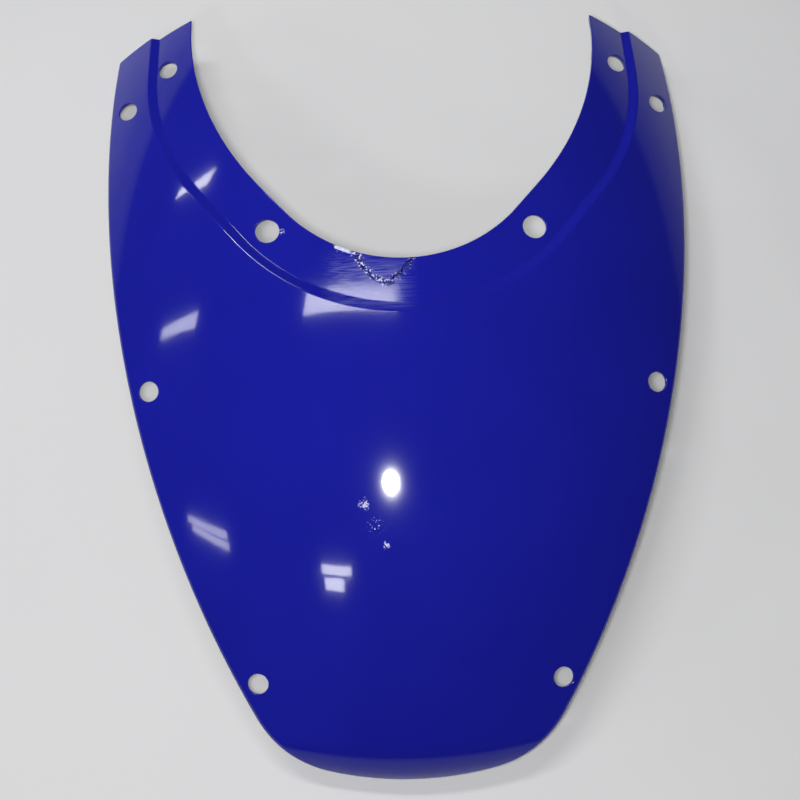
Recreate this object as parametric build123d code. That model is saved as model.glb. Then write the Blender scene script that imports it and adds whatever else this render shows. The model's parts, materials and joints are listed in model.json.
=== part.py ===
from build123d import *
import os
from math import atan2, cos, degrees, hypot, radians, sin, sqrt, tan

# Motorcycle nose fairing panel: one moulded shell, domed both ways, with two horns
# that run up beside a U-shaped opening and a sunk flange round it for the windscreen.
# It is drawn in its mould frame: X across, +Y to the horns, +Z along the mould's draw,
# with the crown of the dome at the origin. At the end it is laid down as it rests.

# Skin
WALL = 3.0                      # thickness of the moulding
CROWN_RADIUS = 410.0            # long curve, horns to nose
ARCH_RADIUS = 225.0             # curve across
HORN_LENGTH = 321.3             # crown to horn ends, along the long curve
NOSE_ROLL_RADIUS = 35.0         # turns the nose under
NOSE_ROLL_PAST = 3.0            # how far the roll would run on past the front wall

# Plan outline
HALF_WIDTH = 159.0
WIDEST_Y = 189.0
SIDE_RADIUS = 637.0
NOSE_Y = -153.0
NOSE_PLAN_RADIUS = 177.0
CORNER_SHARE = 0.983            # corner radius to the sides' half width at the front

# Turned-down edge
LIP = 9.0                       # depth below the skin, square to it
CREASE_RADIUS = 4.0

# U-shaped opening
HORN_WIDTH = 45.8               # opening's straight side to the panel's widest point
OPENING_BOTTOM_Y = 115.0
OPENING_FLANK_ANGLE = 48.2
OPENING_BOTTOM_RADIUS = 80.7
OPENING_SHOULDER_RADIUS = 159.0
OPENING_HALF_WIDTH = HALF_WIDTH - HORN_WIDTH

# Windscreen flange round the opening
STEP = 3.5                      # depth of the flange below the skin
STEP_RUN = 4.5                  # width of the slope down to it
STEP_FOOT = 0.3                 # upright part at the foot of the slope
FLANGE_HORN_WIDTH = 19.1
FLANGE_BOTTOM_WIDTH = 23.5
FLANGE_FLANK_ANGLE = 50.0
FLANGE_BOTTOM_RADIUS = 109.0
FLANGE_SHOULDER_RADIUS = 110.0
UNDER_GROWTH = WALL * tan(atan2(STEP, STEP_RUN) / 2)    # keeps the slope one wall thick

# Fixing holes, all along the draw
SMALL_HOLE = 10.5
LARGE_HOLE = 12.5
HORN_INNER_SETBACK = 39.0       # from the horn end, along the skin
HORN_INNER_INSET = 12.5         # from the opening's side
HORN_OUTER_SETBACK = 53.0
HORN_OUTER_INSET = 10.8         # from the panel's side
SIDE_HOLE_Y = 50.0
SIDE_HOLE_INSET = 10.8
NOSE_HOLE_SETBACK = 52.0        # from the front of the nose
NOSE_HOLE_INSET = 11.1
FLANGE_HOLE_ANGLE = 47.3        # round the opening's bottom arc, degrees
FLANGE_HOLE_INSET = 13.8        # from the opening's edge

# Sections that the dome is lofted through, and how far the side arcs and bodies are drawn
SECTIONS = 6
SIDE_TOP_ANGLE = 15.0
BODY_SHARE = 0.85               # depth of the bodies under the crown, to the arch radius

# Reach of the cutting tools past what they cut, and closeness of a match
PAST = 2.0
PAST_ANGLE = 4.0
REACH = 400.0
MATCH = 0.05

HORN_ANGLE = degrees(HORN_LENGTH / CROWN_RADIUS)
BODY_DEPTH = BODY_SHARE * ARCH_RADIUS

# Roll of the nose: its axis lies under the long curve, where the roll takes over
ROLL_ARM = CROWN_RADIUS - NOSE_ROLL_RADIUS
ROLL_AXIS_Y = NOSE_Y - NOSE_ROLL_PAST + NOSE_ROLL_RADIUS
ROLL_AXIS_Z = sqrt(ROLL_ARM**2 - ROLL_AXIS_Y**2) - CROWN_RADIUS
NOSE_ANGLE = degrees(atan2(-ROLL_AXIS_Y, ROLL_AXIS_Z + CROWN_RADIUS))
FRONT_HALF_WIDTH = HALF_WIDTH - SIDE_RADIUS + sqrt(SIDE_RADIUS**2 - (WIDEST_Y - NOSE_Y) ** 2)
CORNER_RADIUS = CORNER_SHARE * FRONT_HALF_WIDTH
SIDE_CENTRE = (HALF_WIDTH - SIDE_RADIUS, WIDEST_Y)
NOSE_CENTRE = (0, NOSE_Y + NOSE_PLAN_RADIUS)
CROWN_AXIS = Axis((0, 0, -CROWN_RADIUS), (1, 0, 0))
ROLL_AXIS = Axis((0, ROLL_AXIS_Y, ROLL_AXIS_Z), (1, 0, 0))


def arch_section(depth, foot):
    """Section across the dome, from a depth below the skin down to a flat foot."""
    window = Pos(0, ARCH_RADIUS - foot / 2) * Rectangle(2 * (HALF_WIDTH + PAST), foot)
    return Plane.XZ * Pos(0, -ARCH_RADIUS) * (Circle(ARCH_RADIUS - depth) & window)


def dome_body(depth, past=0.0):
    """All of the dome below a depth, from the horn ends to the start of the nose."""
    horn_end = HORN_ANGLE + past
    pitch = (horn_end + NOSE_ANGLE) / (SECTIONS - 1)
    section = arch_section(depth, BODY_DEPTH + PAST * depth)
    turns = [index * pitch - horn_end for index in range(SECTIONS)]
    return loft([section.rotate(CROWN_AXIS, turn).face() for turn in turns])


def nose_body(depth, past=0.0):
    """All of the rolled nose below a depth."""
    section = arch_section(depth, NOSE_ROLL_RADIUS).rotate(CROWN_AXIS, NOSE_ANGLE)
    return revolve(section, ROLL_AXIS, 90 - NOSE_ANGLE + past)


def along_draw(face):
    """Prism of a plan outline, through the whole depth of the panel."""
    return extrude(face, amount=REACH, both=True)


def side_x(y):
    """Half width of the panel at a place along Y."""
    return HALF_WIDTH - SIDE_RADIUS + sqrt(SIDE_RADIUS**2 - (y - WIDEST_Y) ** 2)


def corner_centre():
    """Centre of the arc that joins the right side arc to the nose arc."""
    side_arm = SIDE_RADIUS - CORNER_RADIUS
    nose_arm = NOSE_PLAN_RADIUS - CORNER_RADIUS
    line = Vector(NOSE_CENTRE) - Vector(SIDE_CENTRE)
    along = (side_arm**2 - nose_arm**2 + line.length**2) / (2 * line.length)
    across = sqrt(side_arm**2 - along**2)
    unit = line.normalized()
    return Vector(SIDE_CENTRE) + unit * along + Vector(unit.Y, -unit.X) * across


def panel_outline(inset):
    """Plan of the panel: two long side arcs, a nose arc and round lower corners."""
    corner = corner_centre()
    to_side = corner - Vector(SIDE_CENTRE)
    to_nose = corner - Vector(NOSE_CENTRE)
    side_turn = degrees(atan2(to_side.Y, to_side.X))
    nose_turn = degrees(atan2(to_nose.Y, to_nose.X))
    side = CenterArc(SIDE_CENTRE, SIDE_RADIUS - inset, side_turn, SIDE_TOP_ANGLE - side_turn)
    bend = CenterArc(corner, CORNER_RADIUS - inset, nose_turn, side_turn - nose_turn)
    nose = CenterArc(NOSE_CENTRE, NOSE_PLAN_RADIUS - inset, -180 - nose_turn, 180 + 2 * nose_turn)
    right = [side, bend]
    left = [mirror(edge, about=Plane.YZ) for edge in right]
    top = Line(side @ 1, left[0] @ 1)
    return make_face([*right, nose, *left, top])


def horseshoe(half_width, bottom_y, flank_angle, bottom_radius, shoulder_radius):
    """Plan of a U: a V with a round bottom whose flanks turn up into straight sides."""
    slope = radians(flank_angle)
    apex_y = bottom_y - bottom_radius * (1 / cos(slope) - 1)
    shoulder_y = apex_y + half_width * tan(slope)
    right = [(half_width, shoulder_y), (half_width, REACH)]
    left = [(-x, y) for x, y in reversed(right)]
    face = make_face(Polyline((0, apex_y), *right, *left, close=True))
    face = fillet(face.vertices().sort_by(Axis.Y)[:1], bottom_radius)
    shoulders = [v for v in face.vertices() if abs(v.Y - shoulder_y) < MATCH]
    straight_flank = half_width / cos(slope) - bottom_radius * tan(slope)
    widest_shoulder = straight_flank / tan((radians(90) - slope) / 2) - PAST
    return fillet(shoulders, min(shoulder_radius, widest_shoulder))


def opening_outline():
    """Plan of the U-shaped opening."""
    return horseshoe(
        OPENING_HALF_WIDTH,
        OPENING_BOTTOM_Y,
        OPENING_FLANK_ANGLE,
        OPENING_BOTTOM_RADIUS,
        OPENING_SHOULDER_RADIUS,
    )


def flange_outline(grow):
    """Plan of the sunk flange, grown outwards for its underside."""
    return horseshoe(
        OPENING_HALF_WIDTH + FLANGE_HORN_WIDTH + grow,
        OPENING_BOTTOM_Y - FLANGE_BOTTOM_WIDTH - grow,
        FLANGE_FLANK_ANGLE,
        FLANGE_BOTTOM_RADIUS + grow,
        FLANGE_SHOULDER_RADIUS + grow,
    )


def depth_at(point):
    """Depth of a point below the skin, square to it."""
    over_nose = atan2(-point.Y, point.Z + CROWN_RADIUS) > radians(NOSE_ANGLE)
    axis_y, axis_z = (ROLL_AXIS_Y, ROLL_AXIS_Z) if over_nose else (0, -CROWN_RADIUS)
    arm = NOSE_ROLL_RADIUS if over_nose else CROWN_RADIUS
    arch_height = hypot(point.Y - axis_y, point.Z - axis_z) - arm + ARCH_RADIUS
    return ARCH_RADIUS - hypot(point.X, arch_height)


def edges_over(solid, outline, depth):
    """Edges of a solid that lie over a plan outline, at one depth below the skin."""
    border = outline.face().outer_wire()
    found = []
    for edge in solid.edges():
        middle = edge @ 0.5
        if abs(depth_at(middle) - depth) < MATCH:
            if border.distance_to(Vertex(middle.X, middle.Y, 0)) < MATCH:
                found.append(edge)
    return found


def sloped(solid, outline, depth):
    """Cuts the upright wall over the flange's outline back to a slope."""
    edges = edges_over(solid, outline, depth)
    skin = max(solid.faces(), key=lambda face: sum(edge in face.edges() for edge in edges))
    return chamfer(edges, STEP_RUN, STEP - STEP_FOOT, reference=skin)


def panel_body(depth, inset, past=0.0):
    """All of the dome and nose below a depth, inside the panel's outline."""
    prism = along_draw(panel_outline(inset))
    return (dome_body(depth, past) & prism) + (nose_body(depth, past) & prism)


def over_flange(outline, depth):
    """Everything over the flange's floor, inside its outline."""
    return along_draw(outline) - dome_body(depth, 2 * PAST_ANGLE)


def outer_block():
    """Everything from the skin down, with a rounded crease and the flange sunk in."""
    flange = flange_outline(0)
    block = panel_body(0, 0)
    block = fillet(edges_over(block, panel_outline(0), 0), CREASE_RADIUS)
    return sloped(block - over_flange(flange, STEP), flange, 0)


def hollow():
    """Space under the moulding, one wall inside the block and open at the horn ends."""
    flange = flange_outline(UNDER_GROWTH)
    space = panel_body(WALL, WALL, PAST_ANGLE)
    return sloped(space - over_flange(flange, STEP + WALL), flange, WALL)


def horn_y(x, setback):
    """Place along Y of a point on the skin, a distance back from the horn end."""
    arm = CROWN_RADIUS - ARCH_RADIUS + sqrt(ARCH_RADIUS**2 - x**2)
    return arm * sin(radians(HORN_ANGLE) - setback / arm)


def hole_pairs():
    """Half spacing, place along Y and diameter of each mirrored pair of fixing holes."""
    horn_inner_x = OPENING_HALF_WIDTH + HORN_INNER_INSET
    horn_outer_x = HALF_WIDTH - HORN_OUTER_INSET
    nose_hole_y = NOSE_Y + NOSE_HOLE_SETBACK
    flange_arm = OPENING_BOTTOM_RADIUS + FLANGE_HOLE_INSET
    flange_x = flange_arm * sin(radians(FLANGE_HOLE_ANGLE))
    flange_rise = OPENING_BOTTOM_RADIUS - flange_arm * cos(radians(FLANGE_HOLE_ANGLE))
    return {
        "horn_inner": (horn_inner_x, horn_y(horn_inner_x, HORN_INNER_SETBACK), SMALL_HOLE),
        "horn_outer": (horn_outer_x, horn_y(horn_outer_x, HORN_OUTER_SETBACK), SMALL_HOLE),
        "flange": (flange_x, OPENING_BOTTOM_Y + flange_rise, LARGE_HOLE),
        "side": (side_x(SIDE_HOLE_Y) - SIDE_HOLE_INSET, SIDE_HOLE_Y, SMALL_HOLE),
        "nose": (side_x(nose_hole_y) - NOSE_HOLE_INSET, nose_hole_y, SMALL_HOLE),
    }


def fixing_holes():
    """Drills for the mirrored pairs of fixing holes."""
    drills = []
    for half_spacing, y, diameter in hole_pairs().values():
        for x in (-half_spacing, half_spacing):
            drills.append(Pos(x, y) * Cylinder(diameter / 2, 2 * REACH))
    return drills


def moulded_panel():
    """The panel in its mould frame."""
    below_lip = panel_body(LIP, -PAST, PAST_ANGLE)
    panel = outer_block() - below_lip - hollow() - along_draw(opening_outline())
    return panel - fixing_holes()


def laid_down(panel):
    """Turns the panel to rest on its horn corners and nose rim, centred over the origin."""
    horn_foot = panel.vertices().sort_by(Axis.Z)[0]
    rest_angle = degrees(atan2(ROLL_AXIS_Z - horn_foot.Z, horn_foot.Y - NOSE_Y))
    turned = panel.rotate(Axis.X, rest_angle)
    box = turned.bounding_box()
    return Pos(-box.center().X, -box.center().Y, -box.min.Z) * turned


fairing_panel = laid_down(moulded_panel())
os.makedirs("parts", exist_ok=True)
export_step(fairing_panel, "parts/fairing_panel.step")
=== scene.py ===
# Glossy blue motorcycle nose fairing panel, lying skin up on a pale table

import json
from math import atan2, cos, hypot, pi, radians, sin, sqrt, tan

import bpy
from mathutils import Matrix, Vector, noise
from mathutils.geometry import delaunay_2d_cdt
from mathutils.kdtree import KDTree


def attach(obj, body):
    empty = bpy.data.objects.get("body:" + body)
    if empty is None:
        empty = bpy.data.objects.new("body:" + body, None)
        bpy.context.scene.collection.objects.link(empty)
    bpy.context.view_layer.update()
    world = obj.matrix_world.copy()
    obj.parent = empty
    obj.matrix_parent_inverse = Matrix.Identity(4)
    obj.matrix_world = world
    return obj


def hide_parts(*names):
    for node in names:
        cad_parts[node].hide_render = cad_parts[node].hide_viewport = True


# Skin, in millimetres in the mould frame, with the crown of the dome at the origin
WALL = 3.0
CROWN_RADIUS = 410.0
ARCH_RADIUS = 225.0
HORN_LENGTH = 321.3
NOSE_ROLL_RADIUS = 35.0
NOSE_ROLL_PAST = 3.0

# Plan outline
HALF_WIDTH = 159.0
WIDEST_Y = 189.0
SIDE_RADIUS = 637.0
NOSE_Y = -153.0
NOSE_PLAN_RADIUS = 177.0
CORNER_SHARE = 0.983

# Turned-down edge
LIP = 9.0
CREASE_RADIUS = 4.0

# U-shaped opening
HORN_WIDTH = 45.8
OPENING_BOTTOM_Y = 115.0
OPENING_FLANK_ANGLE = 48.2
OPENING_BOTTOM_RADIUS = 80.7
OPENING_SHOULDER_RADIUS = 159.0
OPENING_HALF_WIDTH = HALF_WIDTH - HORN_WIDTH

# Sunk windscreen flange
STEP = 3.5
STEP_RUN = 4.5
STEP_TOP_ROUND = 0.5
STEP_FOOT_ROUND = 0.3
FLANGE_HORN_WIDTH = 19.1
FLANGE_BOTTOM_WIDTH = 23.5
FLANGE_FLANK_ANGLE = 50.0
FLANGE_BOTTOM_RADIUS = 109.0
FLANGE_SHOULDER_RADIUS = 110.0
UNDER_GROWTH = WALL * tan(atan2(STEP, STEP_RUN) / 2)

# Fixing holes
SMALL_HOLE = 10.5
LARGE_HOLE = 12.5
HORN_INNER_SETBACK = 39.0
HORN_INNER_INSET = 12.5
HORN_OUTER_SETBACK = 53.0
HORN_OUTER_INSET = 10.8
SIDE_HOLE_Y = 50.0
SIDE_HOLE_INSET = 10.8
NOSE_HOLE_SETBACK = 52.0
NOSE_HOLE_INSET = 11.1
FLANGE_HOLE_ANGLE = 47.3
FLANGE_HOLE_INSET = 13.8

# Crack at the bottom of the opening: its line in plan, and its jagged groove
CRACK = [
    (-34, 121.5),
    (-24, 117.5),
    (-20.5, 110.5),
    (-15.5, 105),
    (-7, 101.5),
    (-0.4, 108),
    (4, 113.5),
    (5.7, 116.2),
]
CRACK_HALF_WIDTH = 1.3
CRACK_DEPTH = 0.9
CRACK_FAR = 8.0
CRACK_JAG = 0.9
CRACK_SEED = 7

# Scuffs on the flange: where they start, are full, start to fade and end
SCUFF_X = (-44.0, -30.0, -4.0, 9.0)
SCUFF_Y = (86.0, 92.0, 108.0, 124.0)

# Small chips on the skin, painted pale as chipped paint and as glints: centre, reach and how sparse they are
CHIPS_AND_GLINTS = [
    ((-22.5, -10.5, -1.2), 3.4, 0.5),
    ((-17.3, -21.8, -1.3), 6.0, 0.61),
    ((-11.7, -31.0, -1.5), 1.9, 0.48),
    ((-62.0, 130.5, -35.0), 2.0, 0.5),
]

# Fineness of the mesh
EDGE_ROUND = 0.5
OUTLINE_COLUMNS = 190
OPENING_COLUMNS = 110
STEP_COLUMNS = 120
HOLE_COLUMNS = 48
ARC_ROWS = 6
EDGE_ROWS = 3
SKIN_PITCH = 4.0
UNDER_PITCH = 6.0
CRACK_PITCH = 0.6
STEP_ROWS = (-0.8, -0.35, 0.0, 0.4, 0.9, 2.2, 3.5, 3.9, 4.2, 4.5, 4.8, 5.2)
HORN_PITCH = 2.0
HORN_CLEAR = 0.5
GRID_CLEAR = 0.62
CRACK_MARGIN = 2.0
CRACK_TOP_MARGIN = 1.0
SLOPE_REACH = 0.03
WELD = 1e-5
HALVINGS = 50

# Ranges in which the rows of points reach the ends of the horns
HORN_Y = (150, 330)
OUTLINE_LENGTH = (250, 620)
OPENING_LENGTH = (120, 330)
STEP_LENGTH = (150, 330)

# Paint: colours, gloss and the fineness of its patterns
BLUE_DARK = (0.0075, 0.0095, 0.27, 1)
BLUE_LIGHT = (0.010, 0.0125, 0.33, 1)
BLUE_WORN = (0.55, 0.57, 0.9, 1)
# Darker copy of the blue, painted shade in pits along the crack
BLUE_PIT_SHADE = (0.005, 0.006, 0.1, 1)
# Pale colour of chipped paint, painted this pale to stand for glints too
BARE_AND_GLINT = (0.62, 0.64, 0.85, 1)
WORN_SHARE = 0.12
PAINT_ROUGHNESS = (0.03, 0.06)
SCUFF_ROUGHNESS = (0.09, 0.18)
BARE_ROUGHNESS = 0.5
PAINT_SPECULAR = 0.2
COAT_WEIGHT = 0.2
COAT_ROUGHNESS = 0.11
GRIT_SCALE = 0.75
PATCH_SCALE = 0.16
SPECK_SCALE = 1.1
SPECK_EDGE = 0.06
RAGGED_SCALE = 0.45
RAGGED_SHIFT = 6.0
CLOUD_SCALE = 0.018
GLOSS_SCALE = 0.05
LINE_STRETCH = (0.06, 1.4, 1.0)
PEEL_SCALE = 0.35
PEEL_STRENGTH = 0.02
PEEL_HEIGHT = 0.0002

# Damage of the paint along the crack, from none to full: pale chips, which also stand for painted glints,
# and dark pits of painted shade
CHIP_GRIT = (0.55, 0.6)
CHIP_REACH = (3.4, 1.0)
CHIP_PATCHES = (0.42, 0.58)
CHIP_SIDE = (0.0, -12.0)
CHIP_SHARE = (0.35, 1.0)
SLIVER_REACH = (1.2, 0.7)
SLIVER_SIDE = (-25.0, -28.0)
# Where dark pits of painted shade go along the crack
PIT_SHADE_GRIT = (0.52, 0.44)
PIT_SHADE_REACH = (1.9, 0.5)

# Bare plastic of the underside
PLASTIC = (0.018, 0.018, 0.022, 1)
OVERSPRAY = (0.015, 0.017, 0.07, 1)
OVERSPRAY_SCALE = 0.03
GRAIN_SCALE = 1.6
GRAIN_ROUGHNESS = (0.5, 0.65)
GRAIN_STRENGTH = 0.2
GRAIN_HEIGHT = 0.0003

# Table and room, in metres
TABLE_HALF = 4.0
# The table is painted darker away from the panel, a painted falloff of light
TABLE_FALLOFF_RANGE = (0.28, 0.6)
TABLE_PALE = (0.66, 0.66, 0.67, 1)
TABLE_PALER = (0.7, 0.7, 0.7, 1)
TABLE_PAINTED_FALLOFF = (0.46, 0.46, 0.47, 1)
TABLE_ROUGHNESS = 0.9
TABLE_SPECULAR = 0.1
ROOM_COLOUR = (0.9, 0.93, 1.0, 1)
ROOM_STRENGTH = 0.05

# Camera, over the crown in the mould frame
EYE = (-35.7, 0.0, 1100.0)
LENS_SHARE = 2200 / 800
SENSOR = 36.0
AIM = (64.3 / 2200, 82.7 / 2200, -1.0)
CAMERA_ROLL = 1.2

# Lamps: one beside the lens, a window past the horns, and tubes on a ceiling with ends, width and brightness
FLASH_PLACE = (-69.0, 0.0, 1100.0)
FLASH_SIZE = (90.0, 80.0)
FLASH_RADIANCE = 378.0
WINDOW_PLACE = (-798.0, 2193.0, 896.0)
WINDOW_SIZE = (900.0, 200.0)
WINDOW_RADIANCE = 32.0
CEILING = 1550.0
CEILING_LAMPS = [
    ("tube_a_upper", (-727, -456), (-449, -460), 53, 28),
    ("tube_a_lower", (-701, -539), (-519, -540), 70, 28),
    ("tube_b_upper", (-3363, -279), (-2077, -348), 64, 15),
    ("tube_b_lower", (-3158, -357), (-2037, -428), 60, 15),
    ("tube_c", (-6754, 2505), (-3457, 1692), 195, 16),
    ("tube_d", (-16500, 12950), (-6500, 6550), 560, 22),
    ("tube_e", (-933, 1118), (-10, 1044), 197, 21.5),
]

# Derived sizes
HORN_ANGLE = HORN_LENGTH / CROWN_RADIUS
ROLL_ARM = CROWN_RADIUS - NOSE_ROLL_RADIUS
ROLL_AXIS_Y = NOSE_Y - NOSE_ROLL_PAST + NOSE_ROLL_RADIUS
ROLL_AXIS_Z = sqrt(ROLL_ARM**2 - ROLL_AXIS_Y**2) - CROWN_RADIUS
NOSE_ANGLE = atan2(-ROLL_AXIS_Y, ROLL_AXIS_Z + CROWN_RADIUS)
FRONT_HALF_WIDTH = HALF_WIDTH - SIDE_RADIUS + sqrt(SIDE_RADIUS**2 - (WIDEST_Y - NOSE_Y) ** 2)
CORNER_RADIUS = CORNER_SHARE * FRONT_HALF_WIDTH

# Material slots
PAINT = 0
UNDERSIDE = 1


# Skin

def skin(x, y, depth):
    """Point and normal of the skin, or of a surface at one depth below it, over a place in plan."""
    radius = ARCH_RADIUS - depth
    rise = sqrt(max(radius**2 - x**2, 0))
    reach = CROWN_RADIUS - ARCH_RADIUS + rise
    axis_y, axis_z, arm = 0.0, -CROWN_RADIUS, reach
    if y < -reach * sin(NOSE_ANGLE):
        axis_y, axis_z, arm = ROLL_AXIS_Y, ROLL_AXIS_Z, max(reach - ROLL_ARM, 0)
    up = sqrt(max(arm**2 - (y - axis_y) ** 2, 0))
    out = Vector((0, y - axis_y, up)).normalized() * (rise / radius)
    return Vector((x, y, axis_z + up)), Vector((x / radius, out.y, out.z))


# Plan curves

def walk(start_y, runs, length):
    """Point and outward normal on a curve of arcs and lines that leaves the middle square to it."""
    x, y, heading = 0.0, start_y, 0.0
    left = abs(length)
    for run_length, radius in runs:
        step = min(left, run_length)
        if radius:
            turned = heading + step / radius
            x += radius * (sin(turned) - sin(heading))
            y += radius * (cos(heading) - cos(turned))
            heading = turned
        else:
            x += step * cos(heading)
            y += step * sin(heading)
        left -= step
    side = -1 if length < 0 else 1
    return Vector((side * x, y)), Vector((side * sin(heading), -cos(heading)))


def outline_runs():
    """Arcs of the panel's outline: nose, lower corner and long side."""
    side_centre = Vector((HALF_WIDTH - SIDE_RADIUS, WIDEST_Y))
    nose_centre = Vector((0, NOSE_Y + NOSE_PLAN_RADIUS))
    side_arm = SIDE_RADIUS - CORNER_RADIUS
    nose_arm = NOSE_PLAN_RADIUS - CORNER_RADIUS
    line = nose_centre - side_centre
    along = (side_arm**2 - nose_arm**2 + line.length**2) / (2 * line.length)
    across = sqrt(side_arm**2 - along**2)
    unit = line.normalized()
    corner = side_centre + unit * along + Vector((unit.y, -unit.x)) * across
    to_nose = corner - nose_centre
    to_side = corner - side_centre
    nose_turn = atan2(to_nose.x, -to_nose.y)
    side_turn = atan2(to_side.x, -to_side.y)
    return [
        (NOSE_PLAN_RADIUS * nose_turn, NOSE_PLAN_RADIUS),
        (CORNER_RADIUS * (side_turn - nose_turn), CORNER_RADIUS),
        (SIDE_RADIUS * (pi - side_turn), SIDE_RADIUS),
    ]


class Horseshoe:
    """Plan of a U: a round bottom, straight flanks, shoulders and straight sides."""

    def __init__(self, half_width, bottom_y, flank_angle, bottom_radius, shoulder_radius):
        slope = radians(flank_angle)
        self.half_width = half_width
        self.bottom_y = bottom_y
        self.bottom_radius = bottom_radius
        self.shoulder_radius = shoulder_radius
        self.out = Vector((sin(slope), -cos(slope)))
        self.along = Vector((cos(slope), sin(slope)))
        spread = half_width - shoulder_radius + (shoulder_radius - bottom_radius) * sin(slope)
        self.flank = spread / cos(slope)
        self.centre = Vector((0, bottom_y + bottom_radius))
        self.flank_start = self.centre + bottom_radius * self.out
        self.shoulder = self.flank_start + self.flank * self.along - shoulder_radius * self.out
        self.runs = [
            (bottom_radius * slope, bottom_radius),
            (self.flank, None),
            (shoulder_radius * (pi / 2 - slope), shoulder_radius),
            (CROWN_RADIUS, None),
        ]

    def at(self, length):
        return walk(self.bottom_y, self.runs, length)

    def outside(self, x, y):
        """Distance of a place in plan outside the U, negative inside it."""
        place = Vector((abs(x), y))
        along = (place - self.flank_start).dot(self.along)
        if along < 0:
            return (place - self.centre).length - self.bottom_radius
        if along < self.flank:
            return (place - self.flank_start).dot(self.out)
        if y < self.shoulder.y:
            return (place - self.shoulder).length - self.shoulder_radius
        return place.x - self.half_width


def flange_shape(grow):
    """Outline of the sunk flange, grown for its underside."""
    return Horseshoe(
        OPENING_HALF_WIDTH + FLANGE_HORN_WIDTH + grow,
        OPENING_BOTTOM_Y - FLANGE_BOTTOM_WIDTH - grow,
        FLANGE_FLANK_ANGLE,
        FLANGE_BOTTOM_RADIUS + grow,
        FLANGE_SHOULDER_RADIUS + grow,
    )


OUTLINE_RUNS = outline_runs()
OPENING = Horseshoe(
    OPENING_HALF_WIDTH,
    OPENING_BOTTOM_Y,
    OPENING_FLANK_ANGLE,
    OPENING_BOTTOM_RADIUS,
    OPENING_SHOULDER_RADIUS,
)
FLANGE = flange_shape(0)
FLANGE_UNDER = flange_shape(UNDER_GROWTH)


# Damage

def crack_distance(x, y):
    """Distance in plan from the line of the crack."""
    nearest = CRACK_FAR
    for (ax, ay), (bx, by) in zip(CRACK, CRACK[1:]):
        run = hypot(bx - ax, by - ay)
        share = ((x - ax) * (bx - ax) + (y - ay) * (by - ay)) / run**2
        share = min(max(share, 0), 1)
        nearest = min(nearest, hypot(x - ax - share * (bx - ax), y - ay - share * (by - ay)))
    return nearest


def crack_depth(x, y):
    """Depth of the jagged groove along the crack."""
    if crack_distance(x, y) > CRACK_HALF_WIDTH + CRACK_JAG:
        return 0.0
    jag = CRACK_JAG * noise.noise_vector(Vector((x, y, 0)))
    share = crack_distance(x + jag.x, y + jag.y) / CRACK_HALF_WIDTH
    return CRACK_DEPTH * max(1 - share, 0)


# Surfaces of the moulding

def eased(value, width):
    """A value that is cut off below zero, with the corner rounded."""
    if value <= -width:
        return 0.0
    if value >= width:
        return value
    return (value + width) ** 2 / (4 * width)


def step_depth(outside):
    """Depth of the step at a distance outside the foot of its slope."""
    slope = eased(STEP * (1 - outside / STEP_RUN), STEP_TOP_ROUND)
    return STEP - eased(STEP - slope, STEP_FOOT_ROUND)


def top_height(x, y):
    depth = step_depth(FLANGE.outside(x, y)) + crack_depth(x, y)
    return skin(x, y, depth)[0].z


def under_height(x, y):
    depth = WALL + step_depth(FLANGE_UNDER.outside(x, y))
    return skin(x, y, depth)[0].z


def on_surface(height, x, y):
    """Point and upward normal of a height field."""
    slope_x = (height(x + SLOPE_REACH, y) - height(x - SLOPE_REACH, y)) / (2 * SLOPE_REACH)
    slope_y = (height(x, y + SLOPE_REACH) - height(x, y - SLOPE_REACH)) / (2 * SLOPE_REACH)
    return Vector((x, y, height(x, y))), Vector((-slope_x, -slope_y, 1)).normalized()


def rounded_edge(place, away, depth, radius, count):
    """Points and normals round an edge, from the skin over to the upright wall."""
    inside = place - radius * away
    centre, top = skin(inside.x, inside.y, depth + radius)
    wall = Vector((away.x, away.y, 0))
    turns = [top.slerp(wall, step / count) for step in range(count + 1)]
    return [(centre + radius * turn, turn) for turn in turns]


# Horn ends

def past_horn(point):
    """Distance of a point past the flat end of the horns."""
    return point.y * cos(HORN_ANGLE) - (point.z + CROWN_RADIUS) * sin(HORN_ANGLE)


def root(function, low, high):
    """Where a rising function crosses zero."""
    for _ in range(HALVINGS):
        middle = (low + high) / 2
        if function(middle) < 0:
            low = middle
        else:
            high = middle
    return (low + high) / 2


def horn_point(height, x):
    """Point of a surface on the end of a horn."""
    y = root(lambda y: past_horn(Vector((x, y, height(x, y)))), *HORN_Y)
    return on_surface(height, x, y)


def trimmed(row, columns, low, high):
    """A row of points from horn end to horn end, through the middle."""
    end = root(lambda length: past_horn(row(length)[0]), low, high)
    return [row(end * index / columns) for index in range(-columns, columns + 1)]


# Mesh

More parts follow.
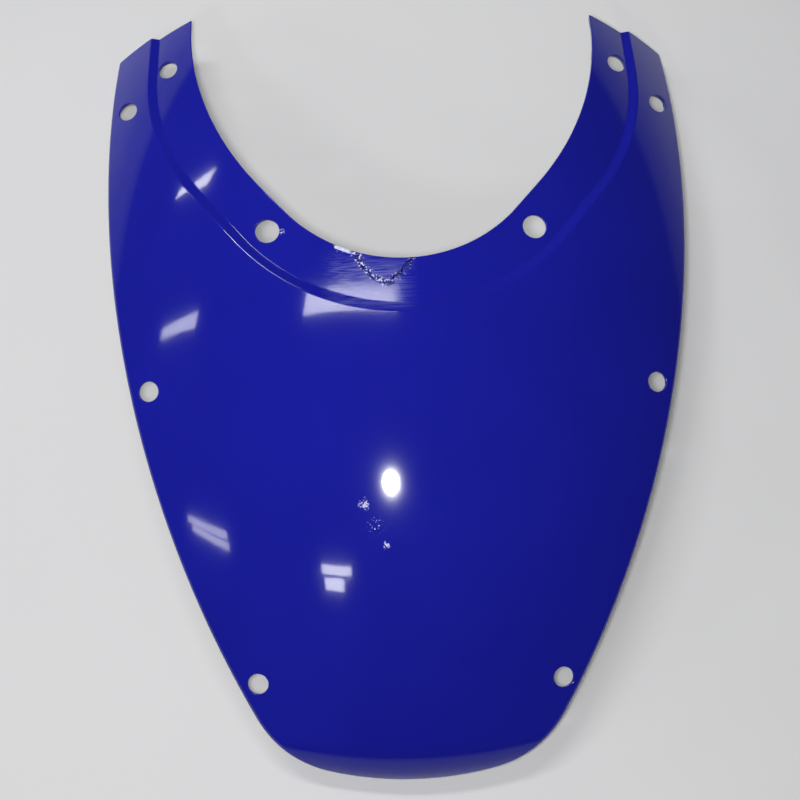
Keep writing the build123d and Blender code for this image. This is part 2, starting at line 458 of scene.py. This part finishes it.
class Shell:
    """Collects welded points and faces with a normal at each corner."""

    def __init__(self):
        self.places = {}
        self.points = []
        self.faces = []
        self.normals = []
        self.materials = []

    def point(self, place):
        key = tuple(round(value, 4) for value in place)
        if key not in self.places:
            self.places[key] = len(self.points)
            self.points.append(place)
        return self.places[key]

    def face(self, corners, material):
        """Adds a face of points with their normals, wound to face the way they do."""
        area = Vector((0, 0, 0))
        for (first, _), (second, _) in zip(corners, corners[1:] + corners[:1]):
            area += first.cross(second)
        flat = area.normalized()
        facing = sum((normal for _, normal in corners if normal), Vector((0, 0, 0)))
        if flat.dot(facing) < 0:
            corners = corners[::-1]
            flat = -flat
        indices = [self.point(place) for place, _ in corners]
        if len(set(indices)) < len(indices):
            return
        self.faces.append(indices)
        self.normals.extend(normal or flat for _, normal in corners)
        self.materials.append(material)

    def strip(self, first, second, material):
        """Quads between two rows of points."""
        for index in range(len(first) - 1):
            corners = [first[index], first[index + 1], second[index + 1], second[index]]
            self.face(corners, material)

    def mesh(self, name, to_frame):
        mesh = bpy.data.meshes.new(name)
        mesh.from_pydata([to_frame @ place for place in self.points], [], self.faces)
        mesh.polygons.foreach_set("material_index", self.materials)
        mesh.polygons.foreach_set("use_smooth", [True] * len(self.faces))
        place = mesh.attributes.new("mould_place", "FLOAT_VECTOR", "POINT")
        place.data.foreach_set("vector", [value for point in self.points for value in point])
        crack = mesh.attributes.new("crack_distance", "FLOAT", "POINT")
        crack.data.foreach_set("value", [crack_distance(point.x, point.y) for point in self.points])
        turn = to_frame.to_3x3().normalized()
        mesh.normals_split_custom_set([turn @ normal for normal in self.normals])
        return mesh


def facing(row, normals):
    """The points of a row with other normals."""
    return [(place, normal) for (place, _), normal in zip(row, normals)]


def outline_rows():
    """Rows of points down the turned-down edge: crease, lip, rim and inner wall."""
    def crease(turn):
        def row(length):
            place, away = walk(NOSE_Y, OUTLINE_RUNS, length)
            return rounded_edge(place, away, 0, CREASE_RADIUS, ARC_ROWS)[turn]
        return row

    def upright(inset, depth, side):
        def row(length):
            place, away = walk(NOSE_Y, OUTLINE_RUNS, length)
            place = place - inset * away
            return skin(place.x, place.y, depth)[0], side * Vector((away.x, away.y, 0))
        return row

    makers = [crease(turn) for turn in range(ARC_ROWS + 1)]
    makers += [upright(0, LIP, 1), upright(WALL, LIP, -1), upright(WALL, WALL, -1)]
    return [trimmed(maker, OUTLINE_COLUMNS, *OUTLINE_LENGTH) for maker in makers]


def opening_rows():
    """Rows of points round the opening's edge, from the flange down its wall."""
    def edge(turn):
        def row(length):
            place, away = OPENING.at(length)
            return rounded_edge(place, -away, STEP, EDGE_ROUND, EDGE_ROWS)[turn]
        return row

    def foot(length):
        place, away = OPENING.at(length)
        return skin(place.x, place.y, STEP + WALL)[0], Vector((-away.x, -away.y, 0))

    makers = [edge(turn) for turn in range(EDGE_ROWS + 1)] + [foot]
    return [trimmed(maker, OPENING_COLUMNS, *OPENING_LENGTH) for maker in makers]


def step_rows(shape, height):
    """Rows of points along the slope of the step."""
    rows = []
    for distance in STEP_ROWS:
        def row(length):
            place, away = shape.at(length)
            place = place + distance * away
            return on_surface(height, place.x, place.y)
        rows.append(trimmed(row, STEP_COLUMNS, *STEP_LENGTH))
    return rows


def hole_places():
    """Centre, radius and depth of the flange or skin of each fixing hole on the right."""
    def horn_y(x, setback):
        reach = CROWN_RADIUS - ARCH_RADIUS + sqrt(ARCH_RADIUS**2 - x**2)
        return reach * sin(HORN_ANGLE - setback / reach)

    def side_x(y):
        return HALF_WIDTH - SIDE_RADIUS + sqrt(SIDE_RADIUS**2 - (y - WIDEST_Y) ** 2)

    inner_x = OPENING_HALF_WIDTH + HORN_INNER_INSET
    outer_x = HALF_WIDTH - HORN_OUTER_INSET
    nose_y = NOSE_Y + NOSE_HOLE_SETBACK
    arm = OPENING_BOTTOM_RADIUS + FLANGE_HOLE_INSET
    turn = radians(FLANGE_HOLE_ANGLE)
    flange_y = OPENING_BOTTOM_Y + OPENING_BOTTOM_RADIUS - arm * cos(turn)
    return [
        (inner_x, horn_y(inner_x, HORN_INNER_SETBACK), SMALL_HOLE / 2, STEP),
        (outer_x, horn_y(outer_x, HORN_OUTER_SETBACK), SMALL_HOLE / 2, 0),
        (arm * sin(turn), flange_y, LARGE_HOLE / 2, STEP),
        (side_x(SIDE_HOLE_Y) - SIDE_HOLE_INSET, SIDE_HOLE_Y, SMALL_HOLE / 2, 0),
        (side_x(nose_y) - NOSE_HOLE_INSET, nose_y, SMALL_HOLE / 2, 0),
    ]


def hole_rows(x, y, radius, depth):
    """Closed rows of points round a hole's edge and down its wall."""
    rows = [[] for _ in range(EDGE_ROWS + 2)]
    for index in range(HOLE_COLUMNS + 1):
        turn = 2 * pi * (index % HOLE_COLUMNS) / HOLE_COLUMNS
        away = Vector((-cos(turn), -sin(turn)))
        place = Vector((x, y)) - radius * away
        edge = rounded_edge(place, away, depth, EDGE_ROUND, EDGE_ROWS)
        foot = skin(place.x, place.y, depth + WALL)[0]
        for row, corner in zip(rows, edge + [(foot, Vector((away.x, away.y, 0)))]):
            row.append(corner)
    return rows


def horn_chain(height, outer_end, inner_end, extra_x):
    """Points of a surface along the end of the right horn, from its side to the opening."""
    span = outer_end[0].x - inner_end[0].x
    count = round(span / HORN_PITCH)
    spread = [inner_end[0].x + span * index / count for index in range(1, count)]
    spread = [x for x in spread if min(abs(x - other) for other in extra_x) > HORN_CLEAR]
    inside = sorted(spread + extra_x, reverse=True)
    return [outer_end] + [horn_point(height, x) for x in inside] + [inner_end]


def mirrored(chain):
    """The same points on the left side."""
    def flipped(vector):
        return Vector((-vector.x, vector.y, vector.z))
    return [(flipped(place), flipped(normal)) for place, normal in chain]


def grid_places(pitch, taken, low, high):
    """Places of a triangular grid in plan that keep clear of the points already there."""
    tree = KDTree(len(taken))
    for index, (place, _) in enumerate(taken):
        tree.insert((place.x, place.y, 0), index)
    tree.balance()
    places = []
    rows = int((high[1] - low[1]) / (pitch * sqrt(0.75)))
    columns = int((high[0] - low[0]) / pitch)
    for row in range(rows + 1):
        y = low[1] + row * pitch * sqrt(0.75)
        for column in range(columns + 1):
            x = low[0] + (column + 0.5 * (row % 2)) * pitch
            if tree.find((x, y, 0))[2] > GRID_CLEAR * pitch:
                places.append((x, y))
    return places


def ring_in_plan(ring):
    """Centre and radius in plan of a hole's ring of points."""
    places = [Vector((place.x, place.y)) for place, _ in ring]
    centre = sum(places, Vector((0, 0))) / len(places)
    return centre, sum((place - centre).length for place in places) / len(places)


def fill(shell, height, loop, holes, rows, pitches, material, side):
    """Triangulates a surface in plan inside its border and round its holes."""
    corners = []
    edges = []
    for ring in [loop] + holes:
        start = len(corners)
        corners += ring
        edges += [(start + i, start + (i + 1) % len(ring)) for i in range(len(ring))]
    for row in rows:
        corners += row[1:-1]
    for pitch, low, high in pitches:
        places = grid_places(pitch, corners, low, high)
        corners += [on_surface(height, x, y) for x, y in places]
    plan = [Vector((place.x, place.y)) for place, _ in corners]
    _, _, faces, origins, _, _ = delaunay_2d_cdt(plan, edges, [], 1, WELD)
    rings = [ring_in_plan(hole) for hole in holes]
    for face in faces:
        chosen = [corners[origins[index][0]] for index in face]
        middle = sum((plan[origins[index][0]] for index in face), Vector((0, 0))) / 3
        if any((middle - centre).length < radius for centre, radius in rings):
            continue
        shell.face([(place, side * normal) for place, normal in chosen], material)


def panel_shell():
    """The whole moulding, as one closed shell."""
    shell = Shell()
    outline = outline_rows()
    opening = opening_rows()
    slope = step_rows(FLANGE, top_height)
    slope_under = step_rows(FLANGE_UNDER, under_height)
    for first, second in zip(outline[:ARC_ROWS + 1], outline[1:ARC_ROWS + 2]):
        shell.strip(first, second, PAINT)
    lip, rim, inner = outline[-3:]
    shell.strip(facing(lip, [None] * len(lip)), facing(rim, [None] * len(rim)), PAINT)
    shell.strip(rim, inner, UNDERSIDE)
    for first, second in zip(opening, opening[1:]):
        shell.strip(first, second, PAINT)

    slope_x = [row[-1][0].x for row in slope]
    slope_under_x = [row[-1][0].x for row in slope_under]
    top_chain = horn_chain(top_height, outline[0][-1], opening[0][-1], slope_x)
    under_chain = horn_chain(under_height, inner[-1], opening[-1][-1], slope_under_x)
    top_loop = outline[0] + top_chain[1:-1] + opening[0][::-1] + mirrored(top_chain[1:-1])[::-1]
    under_loop = inner + under_chain[1:-1] + opening[-1][::-1] + mirrored(under_chain[1:-1])[::-1]
    ends = [row[-1] for row in outline[1:-1]]
    walls = [row[-1] for row in opening[1:-1]]
    rim_of_cap = top_chain + walls + under_chain[::-1] + ends[::-1]
    for cap in (rim_of_cap, mirrored(rim_of_cap)):
        normal = Vector((0, cos(HORN_ANGLE), -sin(HORN_ANGLE)))
        shell.face(facing(cap, [normal] * len(cap)), PAINT)

    top_holes = []
    under_holes = []
    for x, y, radius, depth in hole_places():
        for side in (-1, 1):
            rows = hole_rows(side * x, y, radius, depth)
            for first, second in zip(rows, rows[1:]):
                shell.strip(first, second, PAINT)
            top_holes.append(rows[0][:-1])
            under_holes.append(rows[-1][:-1])

    low = (-HALF_WIDTH, NOSE_Y)
    high = (HALF_WIDTH, CROWN_RADIUS * sin(HORN_ANGLE))
    crack_x = [x for x, _ in CRACK]
    crack_y = [y for _, y in CRACK]
    crack_low = (min(crack_x) - CRACK_MARGIN, min(crack_y) - CRACK_MARGIN)
    crack_high = (max(crack_x) + CRACK_MARGIN, max(crack_y) + CRACK_TOP_MARGIN)
    fine = [(CRACK_PITCH, crack_low, crack_high), (SKIN_PITCH, low, high)]
    fill(shell, top_height, top_loop, top_holes, slope, fine, PAINT, 1)
    coarse = [(UNDER_PITCH, low, high)]
    fill(shell, under_height, under_loop, under_holes, slope_under, coarse, UNDERSIDE, -1)
    return shell


# Materials

class Nodes:
    """Short hand for a material's node tree."""

    def __init__(self, name):
        self.material = bpy.data.materials.new(name)
        self.material.use_nodes = True
        self.tree = self.material.node_tree
        self.shader = self.tree.nodes["Principled BSDF"]

    def add(self, kind, **settings):
        node = self.tree.nodes.new(kind)
        for name, value in settings.items():
            setattr(node, name, value)
        return node

    def put(self, socket, value):
        """Links a socket to a value's source, or sets it."""
        if isinstance(value, bpy.types.NodeSocket):
            self.tree.links.new(value, socket)
        else:
            socket.default_value = value

    def attribute(self, name, output):
        return self.add("ShaderNodeAttribute", attribute_name=name).outputs[output]

    def noise(self, place, scale, detail):
        node = self.add("ShaderNodeTexNoise")
        self.put(node.inputs["Vector"], place)
        self.put(node.inputs["Scale"], scale)
        self.put(node.inputs["Detail"], detail)
        return node.outputs["Fac"]

    def range(self, value, low, high, to_low=0.0, to_high=1.0):
        node = self.add("ShaderNodeMapRange", interpolation_type="SMOOTHSTEP")
        for socket, given in zip(node.inputs, (value, low, high, to_low, to_high)):
            self.put(socket, given)
        return node.outputs["Result"]

    def math(self, operation, first, second):
        node = self.add("ShaderNodeMath", operation=operation)
        self.put(node.inputs[0], first)
        self.put(node.inputs[1], second)
        return node.outputs["Value"]

    def axis(self, place, name):
        node = self.add("ShaderNodeSeparateXYZ")
        self.put(node.inputs["Vector"], place)
        return node.outputs[name]

    def near(self, place, centre, reach):
        """One at a place and nothing beyond its reach."""
        node = self.add("ShaderNodeVectorMath", operation="DISTANCE")
        self.put(node.inputs[0], place)
        self.put(node.inputs[1], centre)
        return self.range(node.outputs["Value"], reach, 0.3 * reach)

    def warped(self, place, scale, amount):
        """The place, shifted unevenly to and fro."""
        texture = self.add("ShaderNodeTexNoise")
        self.put(texture.inputs["Vector"], place)
        self.put(texture.inputs["Scale"], scale)
        shift = self.add("ShaderNodeVectorMath", operation="MULTIPLY_ADD")
        self.put(shift.inputs[0], texture.outputs["Color"])
        self.put(shift.inputs[1], (amount, amount, 0))
        self.put(shift.inputs[2], (-amount / 2, -amount / 2, 0))
        shifted = self.add("ShaderNodeVectorMath", operation="ADD")
        self.put(shifted.inputs[0], place)
        self.put(shifted.inputs[1], shift.outputs["Vector"])
        return shifted.outputs["Vector"]

    def between(self, value, low, full, end, high):
        """One from full to end, falling to nothing at low and high."""
        return self.math("MULTIPLY", self.range(value, low, full), self.range(value, high, end))

    def stretched(self, place, scale):
        node = self.add("ShaderNodeMapping")
        self.put(node.inputs["Vector"], place)
        self.put(node.inputs["Scale"], scale)
        return node.outputs["Vector"]

    def mix(self, share, first, second):
        node = self.add("ShaderNodeMix", data_type="RGBA")
        self.put(node.inputs["Factor"], share)
        self.put(node.inputs["A"], first)
        self.put(node.inputs["B"], second)
        return node.outputs["Result"]

    def bump(self, height, strength, distance):
        node = self.add("ShaderNodeBump")
        self.put(node.inputs["Height"], height)
        self.put(node.inputs["Strength"], strength)
        self.put(node.inputs["Distance"], distance)
        return node.outputs["Normal"]


def bare_and_glint_spots(nodes, place, crack, across, grit):
    """Where the paint is off and pale glints are painted: chips and a sliver along the crack, and small
    chips on the skin.
    """
    patchy = nodes.range(nodes.noise(place, PATCH_SCALE, 1.0), *CHIP_PATCHES)
    chips_and_glints = nodes.math("MULTIPLY", nodes.range(grit, *CHIP_GRIT), nodes.range(crack, *CHIP_REACH))
    chips_and_glints = nodes.math("MULTIPLY", chips_and_glints, patchy)
    chips_and_glints = nodes.math("MULTIPLY", chips_and_glints, nodes.range(across, *CHIP_SIDE, *CHIP_SHARE))
    near_crack = nodes.range(crack, *SLIVER_REACH)
    sliver_and_glint = nodes.math("MULTIPLY", near_crack, nodes.range(across, *SLIVER_SIDE))
    bare_and_glint = nodes.math("MAXIMUM", chips_and_glints, sliver_and_glint)
    specks = nodes.noise(place, SPECK_SCALE, 2.0)
    ragged = nodes.warped(place, RAGGED_SCALE, RAGGED_SHIFT)
    for centre, reach, sparse in CHIPS_AND_GLINTS:
        speck = nodes.range(specks, sparse, sparse + SPECK_EDGE)
        chip_and_glint = nodes.math("MULTIPLY", speck, nodes.near(ragged, centre, reach))
        bare_and_glint = nodes.math("MAXIMUM", bare_and_glint, chip_and_glint)
    return bare_and_glint


def paint_material():
    """Deep blue paint under clear coat, chipped along the crack and scuffed beside it; the pale chips also
    stand for painted glints, and dark pits along the crack are painted shade.
    """
    nodes = Nodes("blue_paint")
    place = nodes.attribute("mould_place", "Vector")
    crack = nodes.attribute("crack_distance", "Fac")
    across = nodes.axis(place, "X")
    along = nodes.axis(place, "Y")
    grit = nodes.noise(place, GRIT_SCALE, 2.5)
    bare_and_glint = bare_and_glint_spots(nodes, place, crack, across, grit)
    # Painted shade: a darker copy of the blue in pits along the crack
    painted_pit_shade = nodes.math("MULTIPLY", nodes.range(grit, *PIT_SHADE_GRIT), nodes.range(crack, *PIT_SHADE_REACH))
    scuff = nodes.math("MULTIPLY", nodes.between(across, *SCUFF_X), nodes.between(along, *SCUFF_Y))
    lines = nodes.range(nodes.noise(nodes.stretched(place, LINE_STRETCH), 1.0, 3.0), 0.35, 0.65)

    worn = nodes.math("MULTIPLY", scuff, lines)
    blue = nodes.mix(nodes.noise(place, CLOUD_SCALE, 3.0), BLUE_DARK, BLUE_LIGHT)
    blue = nodes.mix(nodes.math("MULTIPLY", worn, WORN_SHARE), blue, BLUE_WORN)
    # Darker blue in the pits is painted shade
    colour = nodes.mix(painted_pit_shade, blue, BLUE_PIT_SHADE)
    # Pale chips are chipped paint and painted glints
    nodes.put(nodes.shader.inputs["Base Color"], nodes.mix(bare_and_glint, colour, BARE_AND_GLINT))

    rough = nodes.range(nodes.noise(place, GLOSS_SCALE, 4.0), 0.3, 0.7, *PAINT_ROUGHNESS)
    scuff_rough = nodes.math("MULTIPLY", scuff, nodes.range(lines, 0.0, 1.0, *SCUFF_ROUGHNESS))
    rough = nodes.math("MAXIMUM", rough, scuff_rough)
    rough = nodes.math("MAXIMUM", rough, nodes.math("MULTIPLY", bare_and_glint, BARE_ROUGHNESS))
    nodes.put(nodes.shader.inputs["Roughness"], rough)
    nodes.put(nodes.shader.inputs["Specular IOR Level"], PAINT_SPECULAR)
    nodes.put(nodes.shader.inputs["Coat Weight"], COAT_WEIGHT)
    nodes.put(nodes.shader.inputs["Coat Roughness"], COAT_ROUGHNESS)
    peel = nodes.noise(place, PEEL_SCALE, 2.0)
    nodes.put(nodes.shader.inputs["Normal"], nodes.bump(peel, PEEL_STRENGTH, PEEL_HEIGHT))
    return nodes.material


def underside_material():
    """Bare moulded plastic with a matt grain and a haze of overspray."""
    nodes = Nodes("bare_plastic")
    place = nodes.attribute("mould_place", "Vector")
    haze = nodes.range(nodes.noise(place, OVERSPRAY_SCALE, 4.0), 0.4, 0.75)
    grain = nodes.noise(place, GRAIN_SCALE, 3.0)
    nodes.put(nodes.shader.inputs["Base Color"], nodes.mix(haze, PLASTIC, OVERSPRAY))
    nodes.put(nodes.shader.inputs["Roughness"], nodes.range(grain, 0.3, 0.7, *GRAIN_ROUGHNESS))
    nodes.put(nodes.shader.inputs["Normal"], nodes.bump(grain, GRAIN_STRENGTH, GRAIN_HEIGHT))
    return nodes.material


def floor_material():
    """Pale matt table top, painted darker far from the panel as a falloff of light."""
    nodes = Nodes("pale_table")
    place = nodes.add("ShaderNodeTexCoord").outputs["Object"]
    shade = nodes.noise(place, 3.0, 4.0)
    pale = nodes.mix(shade, TABLE_PALE, TABLE_PALER)
    reach = nodes.add("ShaderNodeVectorMath", operation="LENGTH")
    nodes.put(reach.inputs[0], place)
    # Painted falloff of light: darker with distance from the panel
    painted_falloff = nodes.range(reach.outputs["Value"], *TABLE_FALLOFF_RANGE)
    nodes.put(nodes.shader.inputs["Base Color"], nodes.mix(painted_falloff, pale, TABLE_PAINTED_FALLOFF))
    nodes.put(nodes.shader.inputs["Roughness"], TABLE_ROUGHNESS)
    nodes.put(nodes.shader.inputs["Specular IOR Level"], TABLE_SPECULAR)
    return nodes.material


# Stage

def mould_to_frame(record):
    """Takes the mould frame, in millimetres, to the frame that the panel rests in, in metres."""
    mount = next(mount for mount in record["mounts"] if mount["name"] == "side_holes")
    turn = Matrix.Rotation(atan2(-mount["axis"][1], mount["axis"][2]), 4, "X")
    half_spacing = mount["dims"]["pcd_mm"] / 2
    middle = skin(half_spacing, SIDE_HOLE_Y, WALL / 2)[0]
    middle.x = 0
    turned = turn @ Matrix.Scale(0.001, 4)
    return Matrix.Translation(Vector(mount["pos_m"]) - turned @ middle) @ turned


def add_camera(to_frame):
    turn = to_frame.to_3x3().normalized()
    ahead = (turn @ Vector(AIM)).normalized()
    roll = radians(CAMERA_ROLL)
    right = ahead.cross(turn @ Vector((sin(roll), cos(roll), 0))).normalized()
    up = right.cross(ahead)
    data = bpy.data.cameras.new("camera")
    data.sensor_width = SENSOR
    data.lens = SENSOR * LENS_SHARE
    camera = bpy.data.objects.new("camera", data)
    bpy.context.collection.objects.link(camera)
    axes = Matrix((right, up, -ahead)).transposed()
    camera.matrix_world = Matrix.Translation(to_frame @ Vector(EYE)) @ axes.to_4x4()
    bpy.context.scene.camera = camera


def add_lamp(to_frame, name, shape, place, turn, size, radiance):
    """Area lamp of a given brightness, placed and turned in the mould frame."""
    data = bpy.data.lights.new(name, "AREA")
    data.shape = shape
    data.size, data.size_y = (value / 1000 for value in size)
    share = pi / 4 if shape == "ELLIPSE" else 1
    data.energy = radiance * pi * share * data.size * data.size_y
    lamp = bpy.data.objects.new(name, data)
    bpy.context.collection.objects.link(lamp)
    turn = to_frame.to_3x3().normalized() @ turn
    lamp.matrix_world = Matrix.Translation(to_frame @ Vector(place)) @ turn.to_4x4()
    lamp.visible_camera = False
    return data


def add_flash(to_frame):
    """Round lamp beside the lens."""
    turn = Matrix.Identity(3)
    add_lamp(to_frame, "flash", "ELLIPSE", FLASH_PLACE, turn, FLASH_SIZE, FLASH_RADIANCE)


def add_window(to_frame):
    """Soft light from beyond the horns, which faces the crown and casts no shadow."""
    turn = (-Vector(WINDOW_PLACE)).to_track_quat("-Z", "Y").to_matrix()
    lamp = add_lamp(to_frame, "window", "RECTANGLE", WINDOW_PLACE, turn, WINDOW_SIZE, WINDOW_RADIANCE)
    lamp.use_shadow = False


def add_ceiling_lamp(to_frame, name, start, end, width, radiance):
    """Long lamp on the ceiling between two places."""
    run = Vector(end) - Vector(start)
    middle = (Vector(start) + Vector(end)) / 2
    place = (middle.x, middle.y, CEILING)
    turn = Matrix.Rotation(atan2(run.y, run.x), 3, "Z")
    add_lamp(to_frame, name, "RECTANGLE", place, turn, (run.length, width), radiance)


def add_floor():
    mesh = bpy.data.meshes.new("table_top")
    corners = [(-1, -1), (1, -1), (1, 1), (-1, 1)]
    mesh.from_pydata([(TABLE_HALF * x, TABLE_HALF * y, 0) for x, y in corners], [], [(0, 1, 2, 3)])
    floor = bpy.data.objects.new("table_top", mesh)
    bpy.context.collection.objects.link(floor)
    mesh.materials.append(floor_material())


def add_world():
    world = bpy.data.worlds.new("room")
    world.use_nodes = True
    background = world.node_tree.nodes["Background"]
    background.inputs["Color"].default_value = ROOM_COLOUR
    background.inputs["Strength"].default_value = ROOM_STRENGTH
    bpy.context.scene.world = world


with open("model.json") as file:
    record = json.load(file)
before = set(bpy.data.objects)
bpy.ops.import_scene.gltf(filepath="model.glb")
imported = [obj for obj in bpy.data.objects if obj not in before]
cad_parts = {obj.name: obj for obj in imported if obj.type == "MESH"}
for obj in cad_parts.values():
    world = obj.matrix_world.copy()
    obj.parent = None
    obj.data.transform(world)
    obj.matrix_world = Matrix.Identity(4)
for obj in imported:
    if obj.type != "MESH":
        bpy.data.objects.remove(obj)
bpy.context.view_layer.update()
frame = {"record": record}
to_frame = mould_to_frame(frame["record"])

noise.seed_set(CRACK_SEED)
shell = panel_shell()
mesh = shell.mesh("fairing_shell", to_frame)
mesh.materials.append(paint_material())
mesh.materials.append(underside_material())
panel = bpy.data.objects.new("fairing_shell", mesh)
bpy.context.collection.objects.link(panel)
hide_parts("fairing_panel")
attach(panel, "root")

add_camera(to_frame)
add_floor()
add_world()
add_flash(to_frame)
add_window(to_frame)
for lamp in CEILING_LAMPS:
    add_ceiling_lamp(to_frame, *lamp)
bpy.context.scene.view_settings.view_transform = "Standard"
